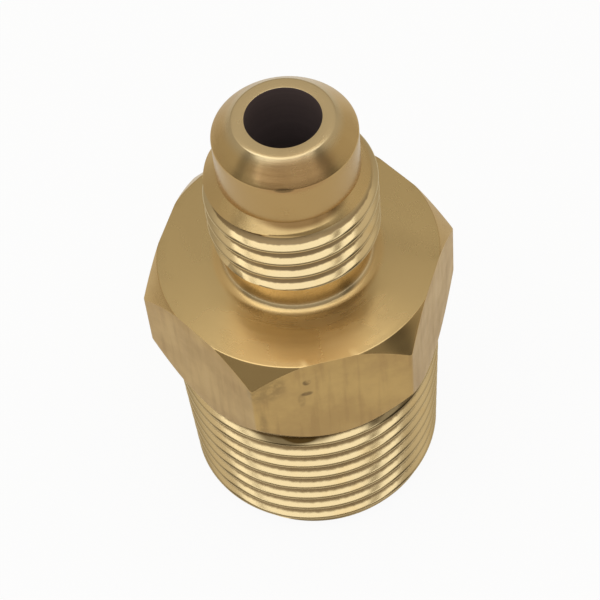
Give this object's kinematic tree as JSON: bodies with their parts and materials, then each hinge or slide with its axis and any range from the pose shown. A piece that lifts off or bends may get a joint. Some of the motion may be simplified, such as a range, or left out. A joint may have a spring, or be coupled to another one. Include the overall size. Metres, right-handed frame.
{
  "type": "flare fitting",
  "caption": "Brass straight connector with a hexagon body, a male flare nose on one end and a male tapered pipe shank on the other, bored right through to join a flared tube to a threaded port.",
  "frame": {"origin": "centre of the pipe end face, on the axis of the bore; the part stands on that face", "axes": "+Z along the bore towards the flare nose; flats of the hexagon face +Y and -Y; corners of the hexagon lie on X"},
  "size_m": [0.0202, 0.0174, 0.0332],
  "materials": {
    "brass": "turned, bare"
  },
  "bodies": {
    "root": {"fitting_body": "brass"}
  },
  "joints": []
}
